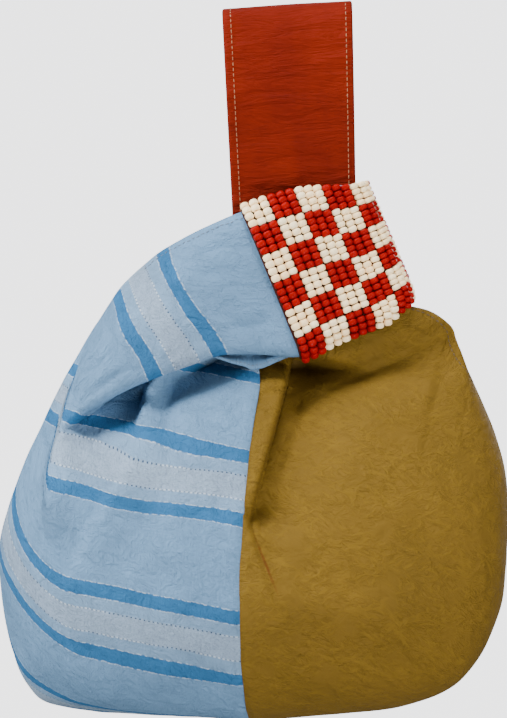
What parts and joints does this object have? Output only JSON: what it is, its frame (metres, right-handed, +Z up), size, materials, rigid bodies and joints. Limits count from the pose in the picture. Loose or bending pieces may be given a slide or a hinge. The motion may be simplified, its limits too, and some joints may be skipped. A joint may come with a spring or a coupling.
{
  "type": "knot bag",
  "caption": "Stuffed fabric knot bag in two halves, its long handle drawn up through a short handle that carries a checked bead band.",
  "frame": {"origin": "inside the top of the long handle's fold, at the middle of its width, where a wrist or a hook carries the bag", "axes": "+Z up along the hanging bag, the front with the pleat faces -Y, +X towards the olive half"},
  "size_m": [0.2546, 0.133, 0.3602],
  "materials": {
    "striped_blue": "plain-woven light blue cotton with darker blue and silver stripes",
    "olive": "smooth waxed olive-mustard cloth, slightly mottled",
    "rust": "matt rust-coloured cotton, topstitched along both edges",
    "beads": "satin red and cream seed beads in a checker of blocks"
  },
  "bodies": {
    "root": {"left_panel": "striped_blue", "right_panel": "olive", "long_handle": "rust", "bead_band": "beads"}
  },
  "joints": []
}
